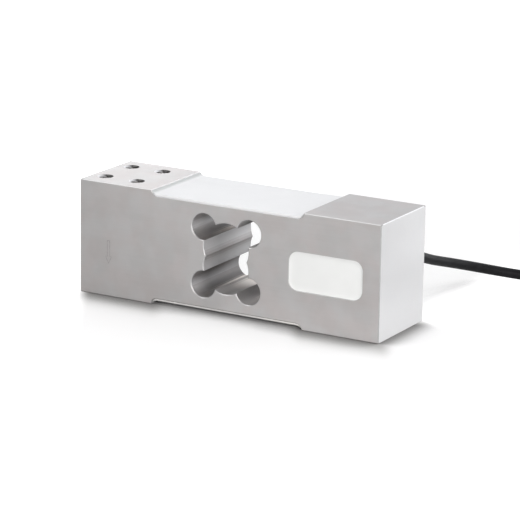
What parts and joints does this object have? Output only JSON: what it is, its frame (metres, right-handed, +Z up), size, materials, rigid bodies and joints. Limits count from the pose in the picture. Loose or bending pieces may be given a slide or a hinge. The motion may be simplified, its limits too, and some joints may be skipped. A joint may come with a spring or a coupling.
{
  "type": "single point load cell",
  "caption": "Single point load cell: machined aluminium beam with a binocular flexure opening, coated strain gauges, potted terminal pocket and signal cable.",
  "frame": {"origin": "middle of the beam's base, on the surface that it stands on, cable left out", "axes": "+X along the beam to its fixed end, +Y to the face that the cable leaves, +Z up"},
  "size_m": [0.3197, 0.1483, 0.06],
  "materials": {
    "beam_aluminium": "milled and finely ground, clear",
    "white_silicone": "smooth, satin",
    "gauge_film": "polyimide film",
    "gauge_foil": "etched foil",
    "terminal_laminate": "glass laminate",
    "copper": "tinned copper",
    "lead_insulation": "smooth",
    "board_laminate": "solder mask",
    "foam_pad": "closed cell foam",
    "resistor_body": "matt",
    "cable_sheath": "satin extruded",
    "crimp_metal": "plated",
    "bush_rubber": "matt moulded",
    "core_red": "smooth",
    "core_black": "smooth",
    "core_green": "smooth",
    "core_white": "smooth",
    "tinned_wire": "tinned strand",
    "tie_nylon": "moulded nylon",
    "shrink_sleeve": "satin"
  },
  "bodies": {
    "root": {"load_beam": "beam_aluminium", "gauge_coating_top": "white_silicone", "gauge_coating_bottom": "white_silicone", "pocket_potting": "white_silicone", "strain_gauge_top_load": "gauge_film", "strain_gauge_top_fixed": "gauge_film", "strain_gauge_bottom_load": "gauge_film", "strain_gauge_bottom_fixed": "gauge_film", "gauge_foils_top": "gauge_foil", "gauge_foils_bottom": "gauge_foil", "terminal_strips_top": "terminal_laminate", "terminal_strips_bottom": "terminal_laminate", "gauge_jumpers_top": "copper", "gauge_jumpers_bottom": "copper", "lead_wires_top": "lead_insulation", "lead_wires_bottom": "lead_insulation", "compensation_board": "board_laminate", "board_adhesive_pad": "foam_pad", "board_pads": "copper", "trim_resistors": "resistor_body", "cable_inner_end": "cable_sheath", "cable_stop_ring": "crimp_metal", "cable_bush": "bush_rubber", "inner_core_red": "core_red", "inner_core_black": "core_black", "inner_core_green": "core_green", "inner_core_white": "core_white", "inner_core_drain": "tinned_wire", "signal_cable": "cable_sheath", "cable_coil": "cable_sheath", "cable_tail": "cable_sheath", "coil_ties": "tie_nylon", "end_sleeve": "shrink_sleeve", "tail_core_red": "core_red", "tail_core_black": "core_black", "tail_core_green": "core_green", "tail_core_white": "core_white", "tail_core_drain": "tinned_wire", "tinned_tips": "tinned_wire"}
  },
  "joints": []
}
